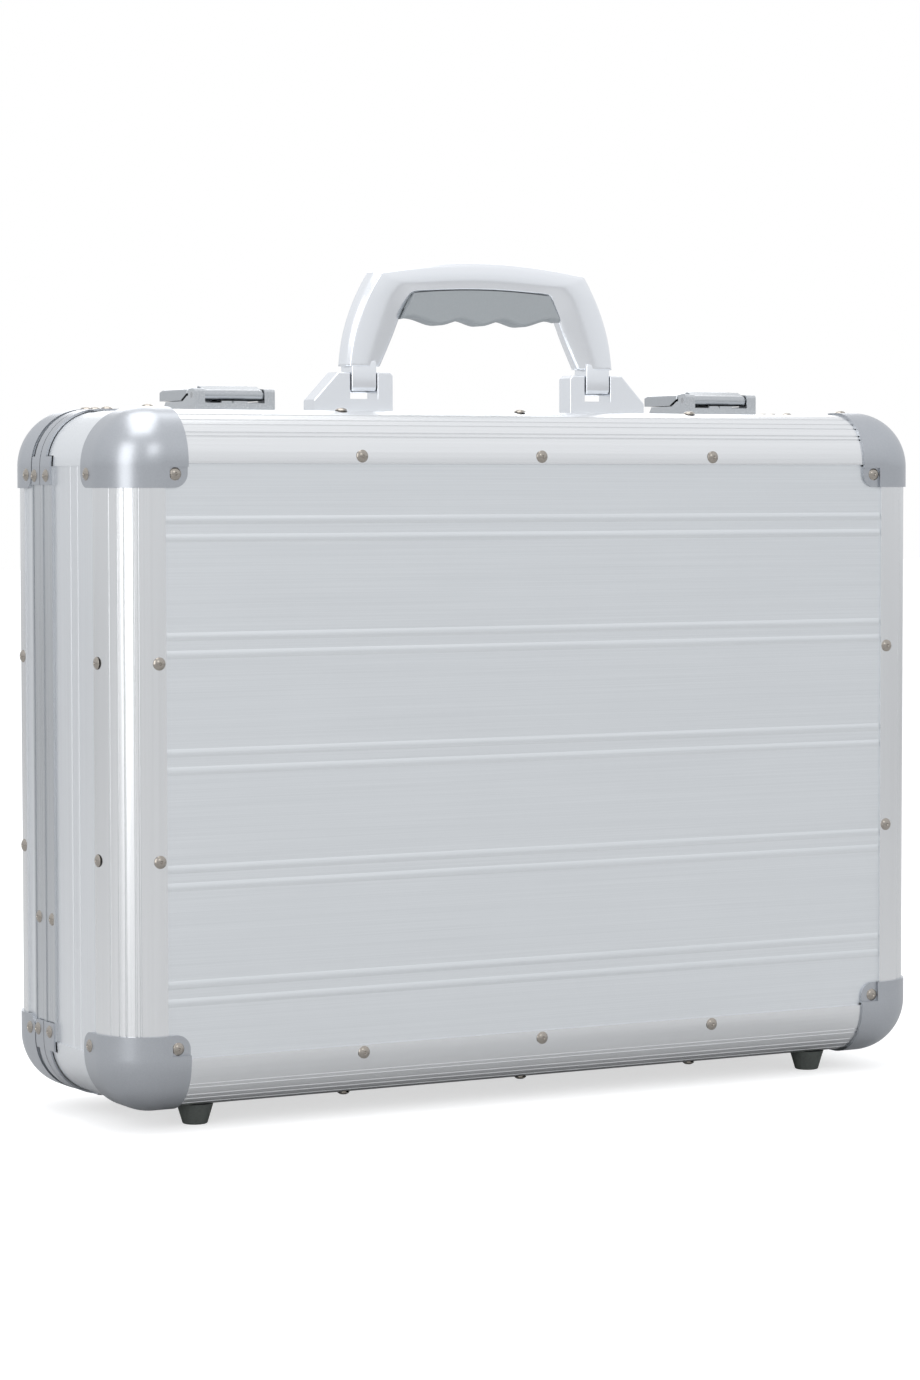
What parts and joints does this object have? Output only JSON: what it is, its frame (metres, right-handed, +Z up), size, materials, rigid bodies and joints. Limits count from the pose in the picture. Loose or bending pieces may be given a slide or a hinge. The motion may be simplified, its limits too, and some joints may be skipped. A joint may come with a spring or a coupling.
{
  "type": "aluminium attache case",
  "caption": "Hard aluminium attache case with ribbed panels, rounded edge rails, corner caps, two lever latches, folding handle and rubber feet; the lid opens on a bottom hinge.",
  "frame": {"origin": "on the floor, under the middle of the closed case box", "axes": "+X along the width, +Y from the base face to the lid face, +Z up"},
  "size_m": [0.4648, 0.1386, 0.42],
  "materials": {
    "rivet_nickel": "nickel plated dome",
    "rail_aluminium": "satin anodised extrusion",
    "cap_metal": "satin pressed metal",
    "frame_aluminium": "satin anodised extrusion",
    "panel_aluminium": "fine brushed sheet",
    "foot_rubber": "matte",
    "lining_fabric": "woven lining on foam",
    "handle_paint": "silver paint",
    "grip_rubber": "soft matte",
    "bracket_paint": "silver paint",
    "latch_metal": "satin plated",
    "zinc_steel": "zinc plated",
    "pin_steel": "bright"
  },
  "bodies": {
    "base": {"base_bottom_panel": "panel_aluminium", "base_bottom_rail": "rail_aluminium", "base_cap_bottom_left": "cap_metal", "base_cap_bottom_right": "cap_metal", "base_cap_top_left": "cap_metal", "base_cap_top_right": "cap_metal", "base_closing_corners": "cap_metal", "base_closing_frame": "frame_aluminium", "base_corner_sheets": "panel_aluminium", "base_face_panel": "panel_aluminium", "base_feet": "foot_rubber", "base_hinge_leaves": "zinc_steel", "base_left_panel": "panel_aluminium", "base_left_rail": "rail_aluminium", "base_lining": "lining_fabric", "base_right_panel": "panel_aluminium", "base_right_rail": "rail_aluminium", "base_rivets": "rivet_nickel", "base_top_panel": "panel_aluminium", "base_top_rail": "rail_aluminium", "handle_bracket_left": "bracket_paint", "handle_bracket_right": "bracket_paint", "handle_pins": "pin_steel", "hinge_pins": "pin_steel", "latch_hinge_pins": "pin_steel", "latch_tray_left": "latch_metal", "latch_tray_right": "latch_metal"},
    "handle": {"handle": "handle_paint", "handle_grip": "grip_rubber"},
    "lid": {"latch_catches": "zinc_steel", "lid_bottom_panel": "panel_aluminium", "lid_bottom_rail": "rail_aluminium", "lid_cap_bottom_left": "cap_metal", "lid_cap_bottom_right": "cap_metal", "lid_cap_top_left": "cap_metal", "lid_cap_top_right": "cap_metal", "lid_closing_corners": "cap_metal", "lid_closing_frame": "frame_aluminium", "lid_corner_sheets": "panel_aluminium", "lid_face_panel": "panel_aluminium", "lid_feet": "foot_rubber", "lid_hinge_leaves": "zinc_steel", "lid_left_panel": "panel_aluminium", "lid_left_rail": "rail_aluminium", "lid_lining": "lining_fabric", "lid_right_panel": "panel_aluminium", "lid_right_rail": "rail_aluminium", "lid_rivets": "rivet_nickel", "lid_top_panel": "panel_aluminium", "lid_top_rail": "rail_aluminium"},
    "latch_claw_left": {"latch_claw_left": "zinc_steel"},
    "latch_claw_right": {"latch_claw_right": "zinc_steel"},
    "latch_lever_left": {"latch_lever_left": "latch_metal"},
    "latch_lever_right": {"latch_lever_right": "latch_metal"},
    "stay_base_link_left": {"stay_base_link_left": "zinc_steel"},
    "stay_base_link_right": {"stay_base_link_right": "zinc_steel"},
    "stay_lid_link_left": {"stay_lid_link_left": "zinc_steel"},
    "stay_lid_link_right": {"stay_lid_link_right": "zinc_steel"}
  },
  "joints": [
    {"name": "lid_hinge", "type": "hinge", "parent": "base", "child": "lid", "pos_m": [0, 0.02, 0.0074], "axis": [-1, 0, 0], "range_deg": [0, 95]},
    {"name": "handle_hinge", "type": "hinge", "parent": "base", "child": "handle", "pos_m": [0, -0.002, 0.3582], "axis": [-1, 0, 0], "range_deg": [-90, 90]},
    {"name": "latch_lever_left", "type": "hinge", "parent": "base", "child": "latch_lever_left", "pos_m": [-0.141, -0.008, 0.3518], "axis": [1, 0, 0], "range_deg": [0, 85]},
    {"name": "latch_claw_left", "type": "hinge", "parent": "latch_lever_left", "child": "latch_claw_left", "pos_m": [-0.141, 0.008, 0.3504], "axis": [1, 0, 0], "range_deg": [0, 12]},
    {"name": "stay_base_pivot_left", "type": "hinge", "parent": "base", "child": "stay_base_link_left", "pos_m": [-0.222, 0.012, 0.0966], "axis": [-1, 0, 0], "range_deg": [0, 110]},
    {"name": "stay_lid_pivot_left", "type": "hinge", "parent": "lid", "child": "stay_lid_link_left", "pos_m": [-0.22, 0.028, 0.0966], "axis": [-1, 0, 0], "range_deg": [-110, 0]},
    {"name": "latch_lever_right", "type": "hinge", "parent": "base", "child": "latch_lever_right", "pos_m": [0.141, -0.008, 0.3518], "axis": [1, 0, 0], "range_deg": [0, 85]},
    {"name": "latch_claw_right", "type": "hinge", "parent": "latch_lever_right", "child": "latch_claw_right", "pos_m": [0.141, 0.008, 0.3504], "axis": [1, 0, 0], "range_deg": [0, 12]},
    {"name": "stay_base_pivot_right", "type": "hinge", "parent": "base", "child": "stay_base_link_right", "pos_m": [0.222, 0.012, 0.0966], "axis": [-1, 0, 0], "range_deg": [0, 110]},
    {"name": "stay_lid_pivot_right", "type": "hinge", "parent": "lid", "child": "stay_lid_link_right", "pos_m": [0.22, 0.028, 0.0966], "axis": [-1, 0, 0], "range_deg": [-110, 0]}
  ],
  "couplings": [
    {"joint": "stay_base_pivot_left", "follows": "lid_hinge", "ratio": 1.1305},
    {"joint": "stay_lid_pivot_left", "follows": "lid_hinge", "ratio": -1.1305},
    {"joint": "stay_base_pivot_right", "follows": "lid_hinge", "ratio": 1.1305},
    {"joint": "stay_lid_pivot_right", "follows": "lid_hinge", "ratio": -1.1305}
  ]
}
